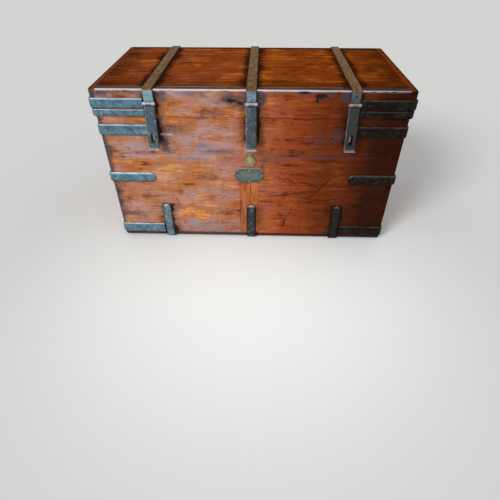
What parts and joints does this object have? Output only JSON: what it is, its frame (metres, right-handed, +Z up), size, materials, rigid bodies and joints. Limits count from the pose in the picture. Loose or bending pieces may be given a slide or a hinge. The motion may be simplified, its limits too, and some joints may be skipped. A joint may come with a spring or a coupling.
{
  "type": "trunk",
  "caption": "Low rectangular wooden trunk bound with iron, with a hinged lid, hasps with staples, a chest lock, and a drop handle at each end.",
  "frame": {"origin": "middle of the footprint on the floor, on the underside of the middle body strap", "axes": "+X to the right along the length, -Y towards the front, +Z up"},
  "size_m": [0.9026, 0.4906, 0.4944],
  "materials": {
    "body_wood": "shellacked red-brown wood, worn, with its grain along the boards",
    "lid_wood": "shellacked orange-brown planks, worn to a sheen",
    "inner_wood": "bare planed wood, dry and unfinished",
    "iron": "forged blue-black iron, hammered, edges worn bright",
    "lid_strap_iron": "forged iron gone brown with age",
    "bright_iron": "iron rubbed bright",
    "brass": "old brass with a green-grey tarnish"
  },
  "bodies": {
    "carcass": {"front_lower_board": "body_wood", "front_upper_board": "body_wood", "back_lower_board": "body_wood", "back_upper_board": "body_wood", "left_end_board": "body_wood", "right_end_board": "body_wood", "front_patch": "body_wood", "bottom_front_board": "inner_wood", "bottom_middle_board": "inner_wood", "bottom_rear_board": "inner_wood", "left_upper_band": "iron", "left_middle_band": "iron", "left_lower_band": "iron", "right_upper_band": "iron", "right_middle_band": "iron", "right_lower_band": "iron", "left_body_strap": "iron", "centre_body_strap": "iron", "right_body_strap": "iron", "left_hinge_pin": "bright_iron", "centre_hinge_pin": "bright_iron", "right_hinge_pin": "bright_iron", "left_staple": "bright_iron", "right_staple": "bright_iron", "lock_case": "iron", "keyhole_plate": "brass", "cover_rivet": "brass", "name_plate": "iron", "name_plate_left_pin": "bright_iron", "name_plate_right_pin": "bright_iron", "name_plate_top_pin": "bright_iron", "name_plate_bottom_pin": "bright_iron", "left_handle_plate": "iron", "right_handle_plate": "iron"},
    "lid": {"lid_front_rail": "body_wood", "lid_back_rail": "body_wood", "lid_left_rail": "body_wood", "lid_right_rail": "body_wood", "lid_front_plank": "lid_wood", "lid_rear_plank": "lid_wood", "left_lid_band": "iron", "left_lip_band": "iron", "right_lid_band": "iron", "right_lip_band": "iron", "left_lid_strap": "lid_strap_iron", "centre_lid_strap": "lid_strap_iron", "right_lid_strap": "lid_strap_iron", "left_hasp_pin": "bright_iron", "centre_hasp_pin": "bright_iron", "right_hasp_pin": "bright_iron"},
    "left_hasp": {"left_hasp": "iron"},
    "centre_hasp": {"centre_hasp": "iron", "lock_staple": "bright_iron"},
    "right_hasp": {"right_hasp": "iron"},
    "keyhole_cover": {"keyhole_cover": "brass"},
    "lock_bolt": {"lock_bolt": "bright_iron"},
    "left_handle": {"left_handle": "iron"},
    "right_handle": {"right_handle": "iron"}
  },
  "joints": [
    {"name": "lid_hinge", "type": "hinge", "parent": "carcass", "child": "lid", "pos_m": [0, 0.2273, 0.41645], "axis": [-1, 0, 0], "range_deg": [0, 105]},
    {"name": "left_hasp_hinge", "type": "hinge", "parent": "lid", "child": "left_hasp", "pos_m": [-0.274, -0.2299, 0.4536], "axis": [-1, 0, 0], "range_deg": [-10, 150]},
    {"name": "centre_hasp_hinge", "type": "hinge", "parent": "lid", "child": "centre_hasp", "pos_m": [0, -0.2299, 0.4536], "axis": [-1, 0, 0], "range_deg": [-10, 150]},
    {"name": "right_hasp_hinge", "type": "hinge", "parent": "lid", "child": "right_hasp", "pos_m": [0.274, -0.2299, 0.4536], "axis": [-1, 0, 0], "range_deg": [-10, 150]},
    {"name": "keyhole_cover_swing", "type": "hinge", "parent": "carcass", "child": "keyhole_cover", "pos_m": [-0.004, -0.2236, 0.3056], "axis": [0, 1, 0], "range_deg": [-90, 90]},
    {"name": "lock_bolt_slide", "type": "slide", "parent": "carcass", "child": "lock_bolt", "axis": [-1, 0, 0], "range_m": [0, 0.014]},
    {"name": "left_handle_swing", "type": "hinge", "parent": "carcass", "child": "left_handle", "pos_m": [-0.4433, 0, 0.3043], "axis": [0, 1, 0], "range_deg": [-10, 165]},
    {"name": "right_handle_swing", "type": "hinge", "parent": "carcass", "child": "right_handle", "pos_m": [0.4433, 0, 0.3043], "axis": [0, -1, 0], "range_deg": [-10, 165]}
  ]
}
